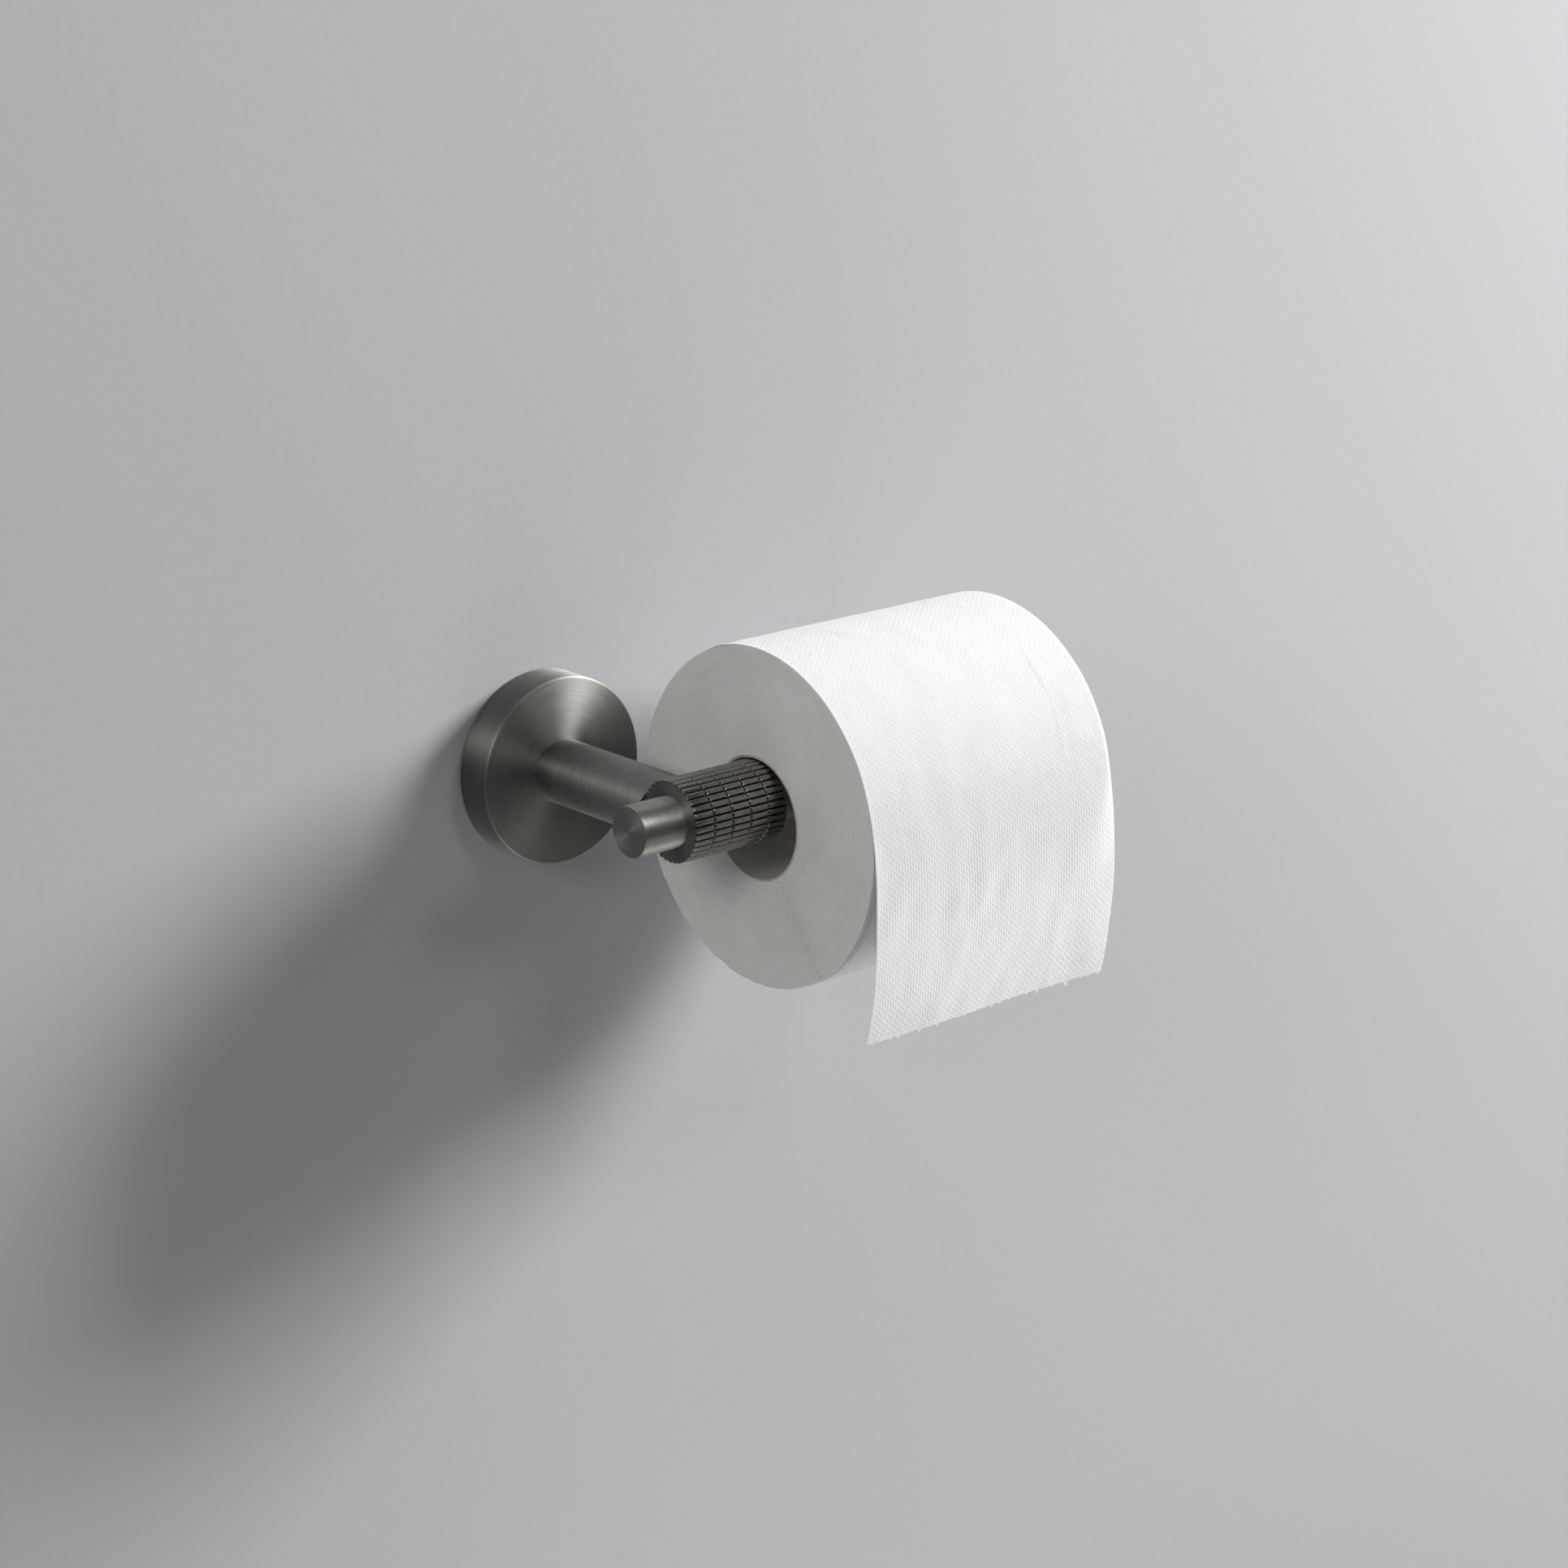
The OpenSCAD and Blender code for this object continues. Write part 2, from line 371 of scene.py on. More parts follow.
EMBOSS_ACROSS_M = 0.0022
EMBOSS_ALONG_M = 0.0020
EMBOSS_DEEP_M = 0.00007
EMBOSS_WOBBLE = 1.6
CRUMPLE_DEEP_M = 0.0006
TISSUE = (0.89, 0.89, 0.89, 1)
# Tone of the emboss's pits, painted shade.
TISSUE_PIT_SHADE = (0.80, 0.80, 0.80, 1)
TISSUE_GLOW_M = 0.0012
EDGE_LAYER_M = 0.0009
EDGE_LAYER_DEEP_M = 0.0003
EDGE_LAYERS_WIDE_M = 0.0070


def tissue(name, edge_layers=False, see_through=0.12):
    """Soft white paper embossed with lengthwise rows of staggered pits, laid out in metres.
    edge_layers adds the few layer edges that stand proud near the roll's tip end, and
    see_through is the share of the light that passes through the paper."""
    n = Nodes(name)
    uv = n.add("ShaderNodeUVMap", uv_map="metres").outputs[0]
    uvw = n.add("ShaderNodeSeparateXYZ", {0: uv}).outputs
    wobble = n.math("MULTIPLY", n.noise(260, 2, 0.5, n.place()), EMBOSS_WOBBLE)
    across = n.math("ADD", n.math("MULTIPLY", uvw[0], TAU / EMBOSS_ACROSS_M), wobble)
    along = n.math("ADD", n.math("MULTIPLY", uvw[1], TAU / EMBOSS_ALONG_M), wobble)
    pits = n.math("MULTIPLY", n.math("SINE", across), n.math("SINE", along))
    rows = n.math("COSINE", n.math("MULTIPLY", across, 2.0))
    pattern = n.math("ADD", n.math("MULTIPLY", pits, 0.5), n.math("MULTIPLY", rows, 0.4))
    fibres = n.noise(2400, 6, 0.7, n.place())
    height = n.math("ADD", n.spread(pattern, -0.8, 0.5, 0, 1), n.math("MULTIPLY", fibres, 0.5))
    broad = n.bump(n.noise(150, 4, 0.6, n.place()), CRUMPLE_DEEP_M, 0.35)
    if edge_layers:
        ridge = n.math("SINE", n.math("MULTIPLY", uvw[0], TAU / EDGE_LAYER_M))
        near = n.spread(uvw[0], 0.0, EDGE_LAYERS_WIDE_M, 1, 0)
        broad = n.bump(n.math("MULTIPLY", ridge, near), EDGE_LAYER_DEEP_M, 0.8, broad)
    n.set(
        # The emboss's pits are painted darker than its crests, painted shade, with the fibres'
        # own random tone mixed in.
        Base_Color=n.mix(n.spread(height, 0.1, 0.8, 0, 1), TISSUE_PIT_SHADE, TISSUE),
        Roughness=n.spread(fibres, 0.3, 0.7, 0.85, 0.98),
        Normal=n.bump(height, EMBOSS_DEEP_M, 1.0, broad),
        Specular_IOR_Level=0.15,
        Sheen_Weight=0.12,
        Sheen_Roughness=0.5,
        Subsurface_Weight=see_through,
        Subsurface_Radius=(TISSUE_GLOW_M, TISSUE_GLOW_M, TISSUE_GLOW_M),
        Subsurface_Scale=1.0,
    )
    return n.material


LAYERS_PER_M = 4600
LAYERS_DEEP_M = 0.0001
LAYER_STROKES_AROUND = 5
LAYER_WARP_M = 0.0016
MARKS_ANGLE = math.radians(-123.5)
MARKS_NARROW_M = 0.0005
MARKS_WIDE_M = 0.0042
MARKS_ACROSS_PER_M = 560
MARKS_OUTWARD_PER_M = 3600


def roll_face_paper(name, dark, light):
    """The cut end of the roll: hundreds of layers on edge, with a line of short marks
    where the log was glued. dark and light are the paper's tones in the gaps between
    layers, where it is painted shade, and on the layers' edges."""
    glue = (0.30, 0.25, 0.21, 1)
    n = Nodes(name)
    xyz = n.xyz_from((0, ROD_Y, ROLL_Z))
    radius = n.hypotenuse(xyz[1], xyz[2])
    warp = n.math("MULTIPLY", n.noise(45, 3, 0.5, n.place()), LAYER_WARP_M)
    layer = n.math("MULTIPLY", n.math("ADD", radius, warp), LAYERS_PER_M)
    unit_y = n.math("MULTIPLY", n.math("DIVIDE", xyz[1], radius), LAYER_STROKES_AROUND)
    unit_z = n.math("MULTIPLY", n.math("DIVIDE", xyz[2], radius), LAYER_STROKES_AROUND)
    lines = n.noise(1.0, 4, 0.65, n.join(unit_y, unit_z, layer))
    fuzz = n.noise(1500, 5, 0.7, n.place())
    cloud = n.noise(60, 3, 0.5, n.place())
    tone = n.math("ADD", n.math("MULTIPLY", lines, 0.55),
                  n.math("ADD", n.math("MULTIPLY", cloud, 0.3), n.math("MULTIPLY", fuzz, 0.15)))
    # The paper is darker in the gaps between layers, painted shade, and lighter on the layers'
    # edges; random clouds and fuzz vary it too.
    paper = n.mix(n.spread(tone, 0.32, 0.66, 0, 1), dark, light)
    aside = n.math("SUBTRACT", n.math("MULTIPLY", xyz[1], math.sin(MARKS_ANGLE)),
                   n.math("MULTIPLY", xyz[2], math.cos(MARKS_ANGLE)))
    ahead = n.math("ADD", n.math("MULTIPLY", xyz[1], math.cos(MARKS_ANGLE)),
                   n.math("MULTIPLY", xyz[2], math.sin(MARKS_ANGLE)))
    beside = n.spread(n.math("ABSOLUTE", aside), MARKS_NARROW_M, MARKS_WIDE_M, 1, 0)
    near = n.math("MULTIPLY", beside, n.math("GREATER_THAN", ahead, 0.0))
    dashes = n.noise(1.0, 1, 0.4, n.join(n.math("MULTIPLY", aside, MARKS_ACROSS_PER_M),
                                         n.math("MULTIPLY", radius, MARKS_OUTWARD_PER_M), 0.0))
    marks = n.math("MULTIPLY", n.spread(dashes, 0.57, 0.66, 0, 0.55), near)
    relief = n.math("ADD", lines, n.math("MULTIPLY", fuzz, 0.5))
    n.set(
        Base_Color=n.mix(marks, paper, glue),
        Roughness=n.spread(fuzz, 0.3, 0.7, 0.86, 0.98),
        Normal=n.bump(relief, LAYERS_DEEP_M, 0.6),
        Specular_IOR_Level=0.12,
    )
    return n.material


def core_board():
    """Pale grey board wound in a spiral, with the spiral's gap and small brown flecks."""
    dark, light = (0.66, 0.65, 0.62, 1), (0.79, 0.78, 0.75, 1)
    fleck, gap = (0.50, 0.45, 0.41, 1), (0.60, 0.58, 0.55, 1)
    spiral_turns_per_m, gap_in_turns, gap_deep = 12.5, 0.012, 0.00012
    n = Nodes("core_board")
    xyz = n.xyz_from((0, ROD_Y, ROLL_Z))
    angle = n.math("DIVIDE", n.math("ARCTAN2", xyz[2], xyz[1]), TAU)
    spiral = n.math("MULTIPLY", xyz[0], spiral_turns_per_m)
    turn = n.math("FRACT", n.math("ADD", angle, spiral))
    from_gap = n.math("ABSOLUTE", n.math("SUBTRACT", turn, 0.5))
    off_gap = n.spread(from_gap, 0.0, gap_in_turns, 0, 1)
    fibres = n.noise(900, 5, 0.7, n.place())
    flecks = n.spread(n.noise(1400, 2, 0.5, n.place()), 0.66, 0.72, 0, 1)
    board = n.mix(n.spread(fibres, 0.3, 0.7, 0, 1), dark, light)
    board = n.mix(flecks, board, fleck)
    n.set(
        Base_Color=n.mix(off_gap, gap, board),
        Roughness=n.spread(fibres, 0.3, 0.7, 0.8, 0.95),
        Normal=n.bump(n.math("ADD", fibres, off_gap), gap_deep, 0.6),
        Specular_IOR_Level=0.2,
    )
    return n.material


def core_edge():
    """The board's cut edge, a thin pinkish brown line."""
    dark, light = (0.46, 0.34, 0.31, 1), (0.66, 0.55, 0.51, 1)
    fibres_deep = 0.0001
    n = Nodes("core_edge")
    fibres = n.noise(1800, 5, 0.7, n.place())
    n.set(
        Base_Color=n.mix(n.spread(fibres, 0.35, 0.65, 0, 1), dark, light),
        Roughness=n.spread(fibres, 0.3, 0.7, 0.85, 0.97),
        Normal=n.bump(fibres, fibres_deep, 0.7),
    )
    return n.material


def painted_wall():
    """Plain matt paint. Its back can't be seen, so the holder shows from behind too."""
    dark, light = (0.392, 0.399, 0.410, 1), (0.410, 0.417, 0.428, 1)
    roller_deep = 0.0002
    n = Nodes("painted_wall")
    roller = n.noise(420, 4, 0.55, n.place())
    n.set(
        Base_Color=n.mix(roller, dark, light),
        Roughness=0.9,
        Normal=n.bump(roller, roller_deep, 0.25),
    )
    clear = n.add("ShaderNodeBsdfTransparent")
    back = n.add("ShaderNodeNewGeometry").outputs["Backfacing"]
    chosen = n.add("ShaderNodeMixShader", {0: back, 1: n.shader.outputs[0], 2: clear.outputs[0]})
    output = n.tree.nodes["Material Output"]
    n.tree.links.new(chosen.outputs[0], output.inputs["Surface"])
    return n.material


def plain_floor():
    """Plain grey floor with a faint speckle."""
    dark, light = (0.33, 0.33, 0.33, 1), (0.36, 0.36, 0.36, 1)
    n = Nodes("plain_floor")
    speckle = n.noise(200, 4, 0.55, n.place())
    n.set(
        Base_Color=n.mix(speckle, dark, light),
        Roughness=0.8,
    )
    return n.material


# ---------------------------------------------------------------- the metal holder


def stand_for(piece, node, body):
    """Shows the piece in place of a CAD node, moving with a body."""
    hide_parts(node)
    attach(piece, body)


def paint(piece, *materials):
    """Gives the piece its materials. Every polygon starts with the first."""
    piece.data.materials.clear()
    for material in materials:
        piece.data.materials.append(material)


def paint_where(piece, index, chosen):
    """Puts the piece's material of that index on the polygons whose normal is chosen."""
    for polygon in piece.data.polygons:
        if chosen(polygon.normal):
            polygon.material_index = index


TURNED_SEGMENTS = 160
END_FACING = 0.98


def make_rose():
    """Turned cup with a crisp chamfer, hollow at the back."""
    wall, chamfer, bore, corner = 4.2 * MM, 0.55 * MM, 4.2 * MM, 0.08 * MM
    segments = 224
    side_facing, edge_facing = 0.3, 0.95
    inner = ROSE_R - wall
    depth = ROSE_T - wall
    outline = [
        (depth, bore), (depth, inner), (0, inner), (0, ROSE_R),
        (ROSE_T - chamfer, ROSE_R), (ROSE_T, ROSE_R - chamfer), (ROSE_T, bore),
    ]
    rose = lathe("turned_rose", rounded(outline, corner), around_post, segments, closed=True)
    # The face, side and chamfer are copies of one metal painted for light and shade: the side is
    # painted darker than the face, painted shade, and the face and chamfer a little darker than
    # the plain metal.
    paint(rose, turned_metal("rose_face_metal", "Y", roughness=0.60, spread=0.85, shade=0.88),
          turned_metal("rose_side_metal", "Y", roughness=0.50, shade=0.76),
          turned_metal("rose_edge_metal", "Y", roughness=0.50, spread=0.6, shade=0.85))
    paint_where(rose, 2, lambda normal: abs(normal.y) < edge_facing)
    paint_where(rose, 1, lambda normal: abs(normal.y) < side_facing)
    stand_for(rose, "rose", "holder")


def make_post():
    """Turned post, hollowed at its end to the sleeve's round back. Its profile runs from 0
    at the rose to 1 at the sleeve."""
    gap, edge = 0.1 * MM, 0.3 * MM
    saddle = extent("knurled_sleeve", 2) / 2 + gap
    lengths, end_rings = 8, 4

    def place(s, r, angle):
        seat = -ROD_Y - math.sqrt(saddle**2 - (r * math.sin(angle)) ** 2)
        return around_post(ROSE_T + s * (seat - ROSE_T), r, angle)

    profile = [(0, 0), (0, POST_R * 0.5), (0, POST_R - edge), (0.002, POST_R - edge * 0.3),
               (0.005, POST_R)]
    profile += [(k / lengths, POST_R) for k in range(1, lengths + 1)]
    profile += [(1, POST_R * k / end_rings) for k in reversed(range(end_rings))]
    post = lathe("turned_post", profile, place, TURNED_SEGMENTS, closed=False)
    paint(post, turned_metal("post_metal", "Y", roughness=0.46, spread=0.76, shade=1.06))
    stand_for(post, "post", "holder")


def make_rod():
    """Solid bar with a fine edge at both ends."""
    edge, corner = 0.22 * MM, 0.05 * MM
    end = ROD_X0 + ROD_LENGTH
    outline = [(ROD_X0, 0), (ROD_X0, ROD_R - edge), (ROD_X0 + edge, ROD_R),
               (end - edge, ROD_R), (end, ROD_R - edge), (end, 0)]
    profile = rounded(outline, corner, closed=False)
    rod = lathe("turned_rod", profile, around_rod, TURNED_SEGMENTS, closed=False)
    at_rod = (0, ROD_Y, 0)
    # The bar's side is painted much lighter than the plain metal, painted light, and its end
    # faces a little darker.
    paint(rod, turned_metal("rod_metal", "X", at_rod, roughness=0.54, shade=1.75),
          turned_metal("rod_face_metal", "X", at_rod, roughness=0.56, spread=0.70, shade=0.90))
    paint_where(rod, 1, lambda normal: abs(normal.x) > END_FACING)
    stand_for(rod, "cross_rod", "holder")


RIBS = 36
BANDS = 5
RIB_DEPTH = 0.78 * MM
RIB_CROWN = 0.26 * MM
RING_DEPTH = 0.92 * MM
RING_HALF_W = 0.52 * MM
# Shares of the pitch from one rib groove to the next: where a groove's slope ends, and
# where the surface has points, closest together in the groove.
GROOVE_HALF = 0.155
HALF_RIB_STEPS = (0.035, 0.08, 0.12, 0.155, 0.20, 0.28, 0.39)
RIB_STEPS = (0, *HALF_RIB_STEPS, 0.5, *(1 - f for f in reversed(HALF_RIB_STEPS)))
# The same across half a ring groove, in shares of its half width.
HALF_RING_STEPS = (0.2, 0.5, 0.85, 1, 1.15)


def v_groove(distance, half_width, depth):
    """Depth of a V-shaped groove with a soft floor, at a distance from its middle."""
    softness = 0.02

    def rise(t):
        return math.sqrt(t * t + softness) - math.sqrt(softness)

    return depth * max(0.0, 1 - rise(min(1.0, distance / half_width)) / rise(1))


def rib_relief(fraction):
    """How far the surface lies below the crest, at a share of the pitch from a groove."""
    from_groove = min(fraction, 1 - fraction)
    crown = RIB_CROWN * ((0.5 - from_groove) / 0.5) ** 2
    return crown + v_groove(from_groove, GROOVE_HALF, RIB_DEPTH)


def make_sleeve():
    """Straight ribs cut into bands by ring grooves, with plain end faces."""
    sleeve_r = extent("knurled_sleeve", 2) / 2
    bore, lip = ROD_R + 0.14 * MM, 0.20 * MM
    flat_r = sleeve_r - RIB_DEPTH - 0.35 * MM
    band = SLEEVE_LENGTH / BANDS
    end_edge, end_slope = 0.24 * MM, 0.8 * MM
    crossing_share = 0.25
    steps = [(0, end_edge), (0.08 * MM, end_edge * 0.4), (end_edge, 0.04 * MM), (end_slope, 0)]
    steps += [(SLEEVE_LENGTH - s, down) for s, down in reversed(steps)]
    across_ring = [-t for t in HALF_RING_STEPS] + [0] + list(HALF_RING_STEPS)
    grooves = [
        (k * band + RING_HALF_W * t, v_groove(abs(t), 1.0, RING_DEPTH))
        for k in range(1, BANDS) for t in across_ring
    ]
    places = [(rib, f) for rib in range(RIBS) for f in RIB_STEPS]

    def ring(x, radius_at):
        """Row at x along the sleeve, with a radius for each share of the pitch."""
        return [
            around_rod(SLEEVE_X0 + x, radius_at(f), TAU * (rib + 0.5 + f) / RIBS)
            for rib, f in places
        ]

    def plain(x, radius):
        return ring(x, lambda f: radius)

    def ribbed(x, down):
        def radius_at(f):
            relief = rib_relief(f)
            return sleeve_r - (max(down, relief) + crossing_share * min(down, relief))
        return ring(x, radius_at)

    rows = [plain(lip, bore), plain(0, bore + lip), plain(0, flat_r)]
    rows += [ribbed(x, down) for x, down in sorted(set(steps + grooves))]
    rows += [plain(SLEEVE_LENGTH, flat_r), plain(SLEEVE_LENGTH, bore + lip),
             plain(SLEEVE_LENGTH - lip, bore)]
    sleeve = grid_object("ribbed_sleeve", rows, around=True, wrap_rows=True, sharp=38)
    face = turned_metal("sleeve_face_metal", "X", (0, ROD_Y, 0), roughness=0.56, shade=0.8)
    paint(sleeve, knurl_metal(), face)
    paint_where(sleeve, 1, lambda normal: abs(normal.x) > END_FACING)
    stand_for(sleeve, "knurled_sleeve", "holder")


def finish_hidden_steel():
    """The hidden pieces show their CAD shapes, with a material."""
    steel = bare_steel()
    for name in ("wall_plate", "rose_grub_screw", "post_screw", "washer", "locating_pin",
                 "bar_stud"):
        paint(NODES[name], steel)


# ---------------------------------------------------------------- the paper roll

CORE_SHOWN = 0.70 * MM
CORE_IN_R = CORE_OUT_R - 1.0 * MM
CORE_INSET = 0.15 * MM
ROLL_SIDES = 384
ROLL_ANGLES = [TAU * k / ROLL_SIDES for k in range(ROLL_SIDES)]
FACE_INSET = 0.3 * MM
FACE_FACING = 0.6
FRAY_ANGLE = math.radians(-50)
FRAY_LENGTH = 3 * MM
FRAY_DEEP = 0.75 * MM


def wave(angle, turns, seed):
    """Smooth closed noise round the roll, from -1 to 1. More turns give shorter waves."""
    at = Vector((math.cos(angle) * turns, math.sin(angle) * turns, seed))
    return noise.noise(at)


def around_roll(x, r, angle):
    """A point at x and r from the roll's axis."""
    return (x, ROD_Y + r * math.cos(angle), ROLL_Z + r * math.sin(angle))


def roll_outline(angle, x):
    """The wound paper's radius. It isn't a perfect cylinder: it has soft flats and small
    swells, and its edge at the tip end is frayed on the lower front."""
    slack = 0.15 * MM
    swell = 0.22 * MM * wave(angle, 2.2, 3.1) + 0.10 * MM * wave(angle, 7.0, 8.7 + 9 * x)
    from_end = x - ROLL_X0
    frayed = max(0.0, 1 - from_end / FRAY_LENGTH) * max(0.0, math.cos(angle - FRAY_ANGLE)) ** 2
    chips = FRAY_DEEP * frayed * wave(angle, 22, 2.6)
    return ROLL_R - slack + swell + min(0.0, chips)


def face_offset(angle, r):
    """How the layers' cut edges stand in and out on the end of the roll."""
    deep = noise.noise(Vector((r * 900, wave(angle, 1.4, 1.7) * 1.5, 4.0)))
    broad = noise.noise(Vector((math.cos(angle) * r * 60, math.sin(angle) * r * 60, 2.0)))
    return 0.10 * MM * deep + 0.22 * MM * broad


def make_paper_roll():
    """Wound paper: the tip end's face, the body, the free end's face and the bore."""
    inner, bore_swell = CORE_IN_R + CORE_SHOWN, 0.12 * MM
    lip = 0.25 * MM
    face_rings, body_steps = 48, 40
    other_pattern = 9
    edge_steps = [(0.07 * MM, 0.10 * MM), (0.25 * MM, 0.0)]
    rows, uv_rows = [], []

    def add(row, across=0.0):
        rows.append(row)
        uv_rows.append([(across, TAU * k / ROLL_SIDES * ROLL_R) for k in range(ROLL_SIDES + 1)])

    def add_body(x, outline_x, down, across):
        add([around_roll(x, roll_outline(a, outline_x) - down, a) for a in ROLL_ANGLES], across)

    def face_row(side, t):
        """Ring of an end face, at a share t of the way from the bore to the rim."""
        x_flat = ROLL_X0 + (0 if side < 0 else ROLL_W)
        row = []
        for a in ROLL_ANGLES:
            rim = roll_outline(a, x_flat) - lip
            bore = inner + bore_swell * wave(a, 6, 5.5)
            r = bore + (rim - bore) * t
            inset = FACE_INSET + face_offset(a + (other_pattern if side > 0 else 0), r)
            row.append(around_roll(x_flat - side * inset, r, a))
        return row

    for i in range(face_rings + 1):
        add(face_row(-1, i / face_rings))
    for out, down in edge_steps:
        add_body(ROLL_X0 + FACE_INSET + out, ROLL_X0, down, out)
    for i in range(1, body_steps):
        x = ROLL_X0 + ROLL_W * i / body_steps
        add_body(x, x, 0.0, x - ROLL_X0)
    for out, down in reversed(edge_steps):
        x = ROLL_X0 + ROLL_W - FACE_INSET - out
        add_body(x, x, down, x - ROLL_X0)
    for i in reversed(range(face_rings + 1)):
        add(face_row(1, i / face_rings))
    roll = grid_object("wound_paper", rows, around=True, wrap_rows=True, uv_rows=uv_rows,
                       sharp=60)
    tip_face = roll_face_paper("roll_tip_face", (0.66, 0.65, 0.62, 1), (0.83, 0.82, 0.79, 1))
    # The free end's face is painted much darker than the tip end's, painted shade that holds back
    # the key light falling full on it; both ends are the same paper.
    free_face_painted_shade = roll_face_paper("roll_free_face", (0.42, 0.415, 0.40, 1), (0.60, 0.59, 0.57, 1))
    paint(roll, tissue("roll_tissue", edge_layers=True), tip_face, free_face_painted_shade)
    paint_where(roll, 1, lambda normal: normal.x < -FACE_FACING)
    paint_where(roll, 2, lambda normal: normal.x > FACE_FACING)
    stand_for(roll, "paper_roll", "roll")


def make_core():
    """Board tube, a little out of round, with its cut edge just proud of the paper."""
    inner, outer = CORE_IN_R + 0.1 * MM, CORE_IN_R + CORE_SHOWN - 0.15 * MM
    near, far = ROLL_X0 + CORE_INSET, ROLL_X0 + ROLL_W - CORE_INSET
    end_wave, radius_wave = 0.15 * MM, 0.10 * MM
    steps = 12

    def ring(i, r):
        x = near + (far - near) * i / steps
        return [
            around_roll(x + end_wave * wave(a, 3, 6.6), r + radius_wave * wave(a, 2, 2.4), a)
            for a in ROLL_ANGLES
        ]

    rows = [ring(i, inner) for i in range(steps + 1)]
    rows += [ring(i, outer) for i in reversed(range(steps + 1))]
    core = grid_object("core_tube", rows, around=True, wrap_rows=True, sharp=50)
    paint(core, core_board(), core_edge())
    paint_where(core, 1, lambda normal: abs(normal.x) > FACE_FACING)
    stand_for(core, "roll_core", "roll")


# ---------------------------------------------------------------- the hanging sheet

SHEET_R = ROLL_R + 0.15 * MM
SHEET_START = math.radians(66)
SHEET_LEAVE = math.radians(165)
SHEET_PATH_STEPS = 200
# The free part is one Bezier curve that leaves the roll along the surface. Its last two
# control points are [towards the wall, up] from the roll's axis.
HANG_HANDLE = 13 * MM
HANG_LOW = (-59.4 * MM, -33 * MM)
HANG_END = (-50.9 * MM, -61 * MM)
HANG_BLEND = 35 * MM
SHEET_COLUMNS = 288
SHEET_STEP = 1.0 * MM
SHEET_THICKNESS = 0.22 * MM
# The layer's start is tucked under the roll's surface, so that it shows no step.
SHEET_TUCK = 0.55 * MM
SHEET_TUCK_LENGTH = 8 * MM
SHEET_SETTLE_LENGTH = 30 * MM
# A faint lengthwise crease, and the rumpled patch low on the left.
CREASE_U = 80 * MM
CREASE_WIDE = 1.6 * MM
CREASE_SWAY = 4 * MM
CREASE_SWAY_PER_M = 30
RUMPLE_U = 42 * MM
RUMPLE_V = 118 * MM
RUMPLE_WIDE = 32 * MM
RUMPLE_LONG = 30 * MM
# The torn edge: the distance between bonds, half a tag's width, how far the cut stands
# short of the sheet's end, and how far up the sheet that is felt.
TEAR_BOND = 3.9 * MM
TEAR_TAG_HALF = 0.55 * MM
TEAR_SHORT = 1.6 * MM
TEAR_FADE = 4 * MM


def sheet_path():
    """The sheet's side view about the roll's axis, as [towards the wall, up] points."""
    def on_roll(angle):
        return Vector((SHEET_R * math.cos(angle), SHEET_R * math.sin(angle)))

    turn = SHEET_LEAVE - SHEET_START
    points = [on_roll(SHEET_START + turn * i / SHEET_PATH_STEPS)
              for i in range(SHEET_PATH_STEPS)]
    leaving = Vector((-math.sin(SHEET_LEAVE), math.cos(SHEET_LEAVE)))
    a = on_roll(SHEET_LEAVE)
    b = a + leaving * HANG_HANDLE
    c, d = Vector(HANG_LOW), Vector(HANG_END)
    for i in range(SHEET_PATH_STEPS + 1):
        t = i / SHEET_PATH_STEPS
        points.append(a * (1 - t) ** 3 + b * 3 * t * (1 - t) ** 2
                      + c * 3 * t * t * (1 - t) + d * t**3)
    return points


def even_steps(points, step):
    """(point, direction, distance) at even steps along a path."""
    out, carried, travelled = [], 0.0, 0.0
    for a, b in zip(points, points[1:]):
        span = (b - a).length
        along = (b - a).normalized()
        while carried <= span:
            out.append((a + along * carried, along, travelled + carried))
            carried += step
        carried -= span
        travelled += span
    return out


def sheet_lift(u, v, hang):
    """How far the paper stands off its smooth path, at u across it and v along it. hang is
    0 on the roll and 1 when free. In each noise, u and v are multiplied by waves a metre."""
    soft = noise.noise(Vector((u * 26, v * 22, 1.3)))
    small = noise.noise(Vector((u * 85, v * 60, 7.9)))
    broad = noise.noise(Vector((u * 22, v * 16, 5.2)))
    fine = noise.noise(Vector((u * 120 + v * 45, v * 62, 9.4)))
    from_crease = u - CREASE_U - CREASE_SWAY * math.sin(v * CREASE_SWAY_PER_M)
    crease = math.exp(-(from_crease / CREASE_WIDE) ** 2)
    rumpled = math.exp(-((u - RUMPLE_U) / RUMPLE_WIDE) ** 2 - ((v - RUMPLE_V) / RUMPLE_LONG) ** 2)
    lift = 0.34 * MM * soft + 0.22 * MM * small + 0.09 * MM * crease
    loose = 1.0 * MM * broad + (0.20 + 0.36 * rumpled) * MM * fine
    tucked = SHEET_TUCK * max(0.0, 1 - v / SHEET_TUCK_LENGTH) ** 2
    settled = min(1.0, v / SHEET_SETTLE_LENGTH)
    return settled * max(lift, -0.02 * MM) * (1 - 0.3 * hang) + loose * hang - tucked


def tear(u):
    """How far the torn edge stands short of the longest tag: a nearly straight cut
    with a small pointed tag left by each bond of the perforation."""
    index = math.floor(u / TEAR_BOND)
    shift = 0.5 * noise.noise(Vector((index * 7.3, 1.9, 4.4)))
    from_tag = abs(u / TEAR_BOND - index - 0.5 - shift) * TEAR_BOND
    height = MM * (0.85 + 2.1 * noise.noise(Vector((index * 3.7, 8.1, 0.6))))
    tag = max(0.0, height * (1 - from_tag / TEAR_TAG_HALF))
    ragged = 0.16 * MM * noise.noise(Vector((u * 2200, 0.4, 2.2)))
    bow = 0.35 * MM * noise.noise(Vector((u * 45, 6.1, 0.7)))
    return TEAR_SHORT + ragged + bow - tag


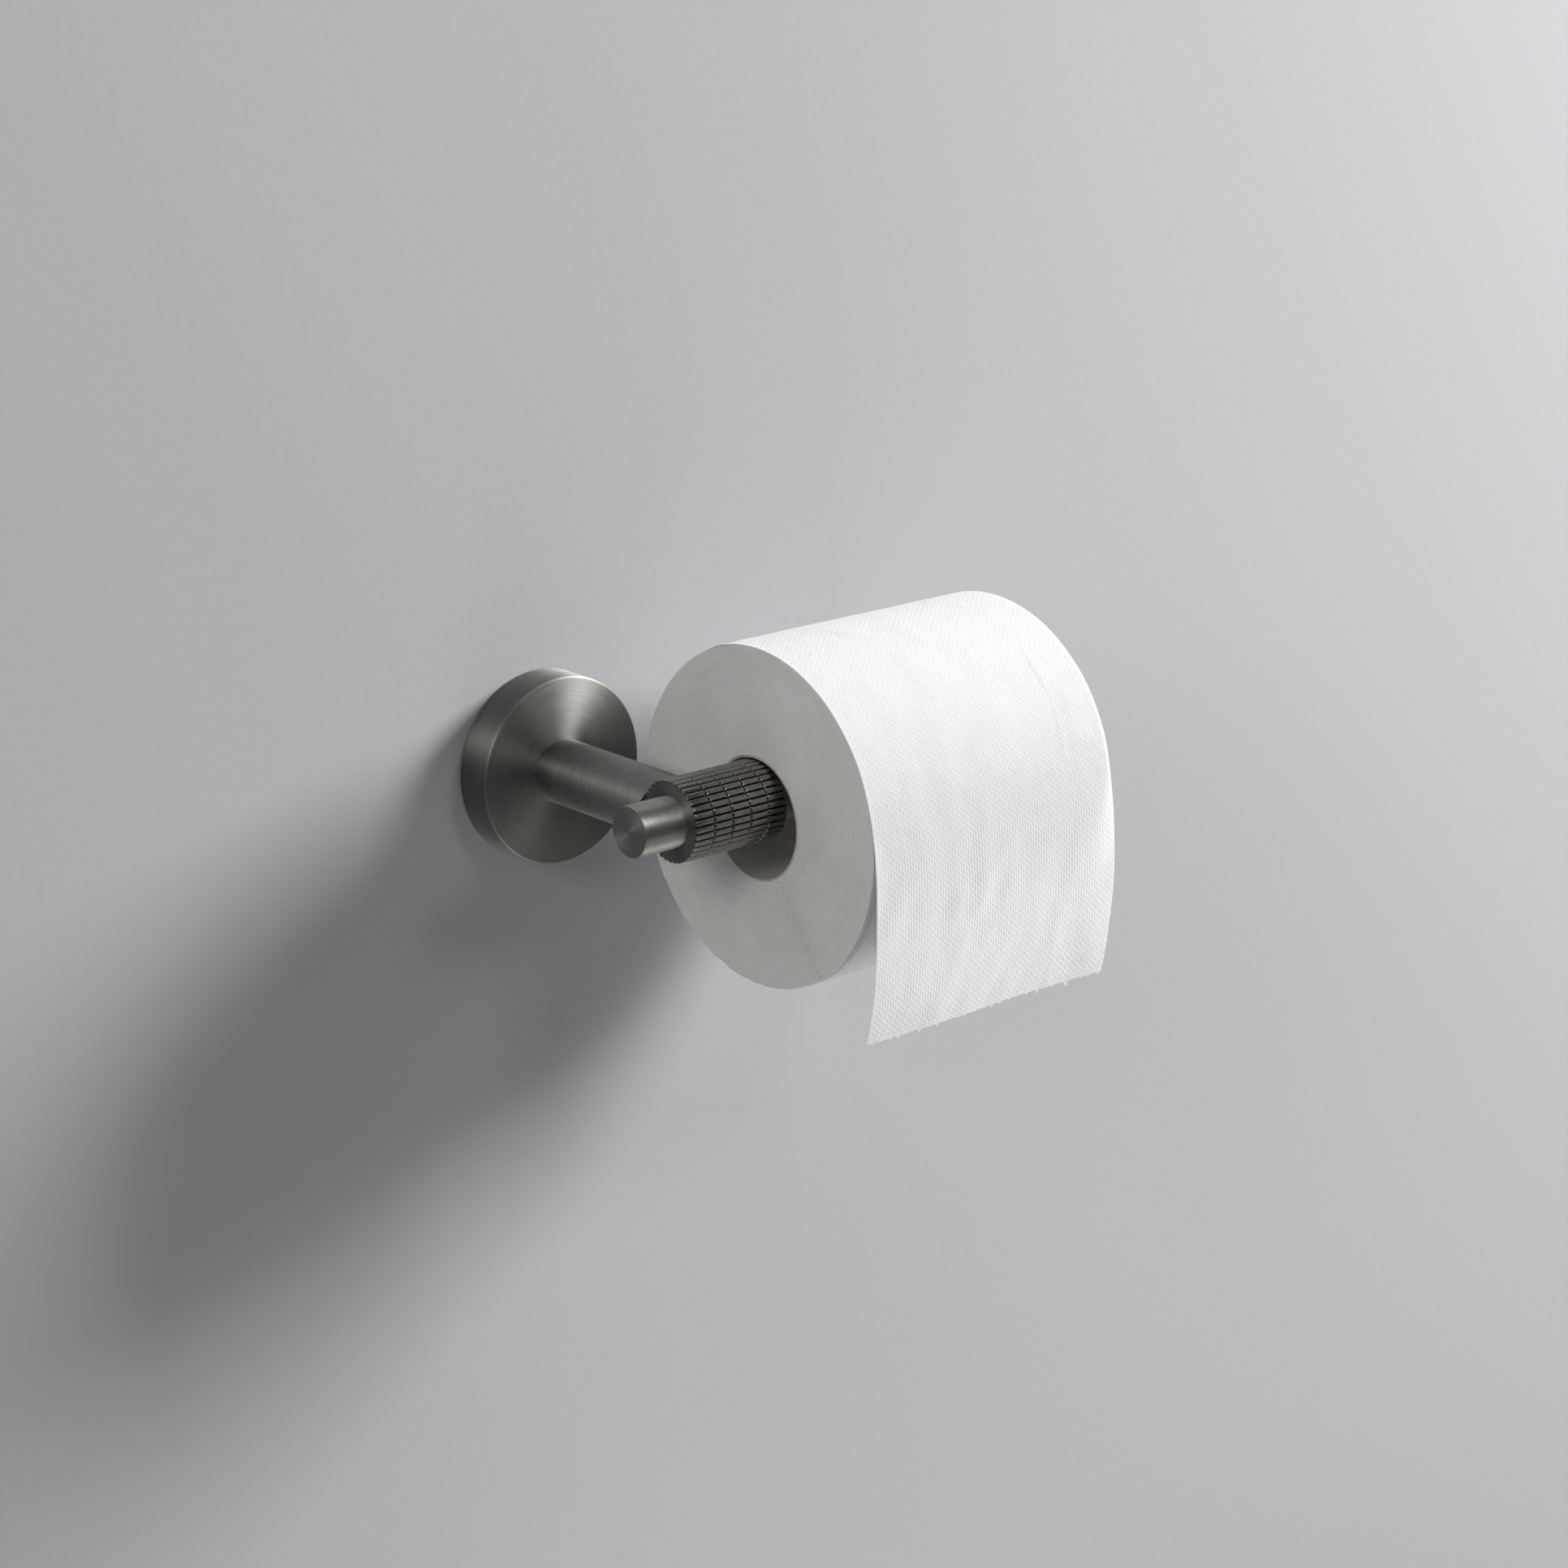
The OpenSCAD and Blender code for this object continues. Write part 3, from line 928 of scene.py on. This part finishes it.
def side_edge(column, distance):
    """How far the sheet's cut side edges waver. Only the first and last columns move."""
    if column not in (0, SHEET_COLUMNS):
        return 0.0
    seed = 3.3 if column else 8.8
    return 0.15 * MM * noise.noise(Vector((distance * 70, seed, 0.2)))


def make_sheet():
    """The loose end: over the top of the roll, then hanging free down the front."""
    path = even_steps(sheet_path(), SHEET_STEP)
    total = path[-1][2]
    leave_at = (SHEET_LEAVE - SHEET_START) * SHEET_R
    rows, uv_rows = [], []
    for point, along, distance in path:
        outward = Vector((along.y, -along.x))
        hang = min(1.0, max(0.0, (distance - leave_at) / HANG_BLEND))
        hang = hang * hang * (3 - 2 * hang)
        torn = max(0.0, 1 - (total - distance) / TEAR_FADE)
        row, uvs = [], []
        for k in range(SHEET_COLUMNS + 1):
            u = ROLL_W * k / SHEET_COLUMNS
            at = point + outward * sheet_lift(u, distance, hang) - along * (tear(u) * torn)
            x = ROLL_X0 + u + side_edge(k, distance)
            row.append((x, ROD_Y + at.x, ROLL_Z + at.y))
            uvs.append((u, distance + SHEET_START * ROLL_R))
        rows.append(row)
        uv_rows.append(uvs)
    sheet = grid_object("loose_tissue", rows, around=False, wrap_rows=False, uv_rows=uv_rows,
                        sharp=180)
    solid = sheet.modifiers.new("thickness", "SOLIDIFY")
    solid.thickness = SHEET_THICKNESS
    solid.offset = 0
    paint(sheet, tissue("sheet_tissue", see_through=0.85))
    stand_for(sheet, "hanging_sheet", "loose_sheet")


# ---------------------------------------------------------------- stage, light and camera

CAMERA_AT = Vector((-0.6714, -0.8891, 0.3334))
CAMERA_YAW = math.radians(48.9426)
CAMERA_PITCH = math.radians(17.0435)
LENS_MM = 84.25
SENSOR_MM = 36
WALL_Y = 0.5 * MM
STAGE_HALF = 1.6
FLOOR_Z = -0.75
LIGHTS_AIM = (0.06, -0.06, 0.0)
# Square soft lights: place, side in metres and watts.
LIGHTS = {
    "key": ((1.82, -1.02, 0.94), 0.75, 84),
    "left_fill": ((-1.35, -0.55, 0.70), 0.5, 6.9),
    "front_fill": ((0.45, -1.80, 1.10), 0.35, 4.0),
    "under_fill": ((0.0, -0.25, -0.65), 0.3, 0.6),
}
SKY = (0.97, 0.98, 1.0, 1)
SKY_STRENGTH = 0.065


def make_camera():
    """Camera at the photograph's place and angle. Yaw turns it from +X towards +Y."""
    data = bpy.data.cameras.new("camera")
    data.lens = LENS_MM
    data.sensor_width = SENSOR_MM
    data.clip_start = 0.01
    camera = new_object("camera", data)
    ahead = Vector((
        math.cos(CAMERA_YAW) * math.cos(CAMERA_PITCH),
        math.sin(CAMERA_YAW) * math.cos(CAMERA_PITCH),
        -math.sin(CAMERA_PITCH),
    ))
    camera.location = CAMERA_AT
    camera.rotation_euler = ahead.to_track_quat("-Z", "Y").to_euler()
    bpy.context.scene.camera = camera


def make_wall():
    """Backdrop with a round hole behind the rose, so that the fixing side shows."""
    hole, sides = ROSE_R - 0.6 * MM, 96
    rows = []
    for r in (hole, hole * 1.6, STAGE_HALF):
        rows.append([(r * math.cos(TAU * k / sides), WALL_Y, r * math.sin(TAU * k / sides))
                     for k in range(sides)])
    wall = grid_object("wall", rows, around=True, wrap_rows=False)
    if wall.data.polygons[0].normal.y > 0:
        wall.data.flip_normals()
    paint(wall, painted_wall())


def make_floor():
    """Level square well below the holder."""
    mesh = bpy.data.meshes.new("floor")
    corners = [(x * STAGE_HALF, y * STAGE_HALF, FLOOR_Z)
               for x, y in ((-1, -1), (1, -1), (1, 1), (-1, 1))]
    mesh.from_pydata(corners, [], [(0, 1, 2, 3)])
    floor = new_object("floor", mesh)
    paint(floor, plain_floor())


def make_light():
    """The four lights and a dim even sky, shown without a filmic curve."""
    for name, (at, side, watts) in LIGHTS.items():
        data = bpy.data.lights.new(name, "AREA")
        data.shape = "RECTANGLE"
        data.size = data.size_y = side
        data.energy = watts
        light = new_object(name, data)
        light.location = at
        aim = Vector(LIGHTS_AIM) - Vector(at)
        light.rotation_euler = aim.to_track_quat("-Z", "Y").to_euler()
    world = bpy.data.worlds.new("studio")
    world.use_nodes = True
    background = world.node_tree.nodes["Background"]
    background.inputs["Color"].default_value = SKY
    background.inputs["Strength"].default_value = SKY_STRENGTH
    bpy.context.scene.world = world
    bpy.context.scene.view_settings.view_transform = "Standard"


make_camera()
make_wall()
make_floor()
make_light()
make_rose()
make_post()
make_rod()
make_sleeve()
finish_hidden_steel()
make_core()
make_paper_roll()
make_sheet()
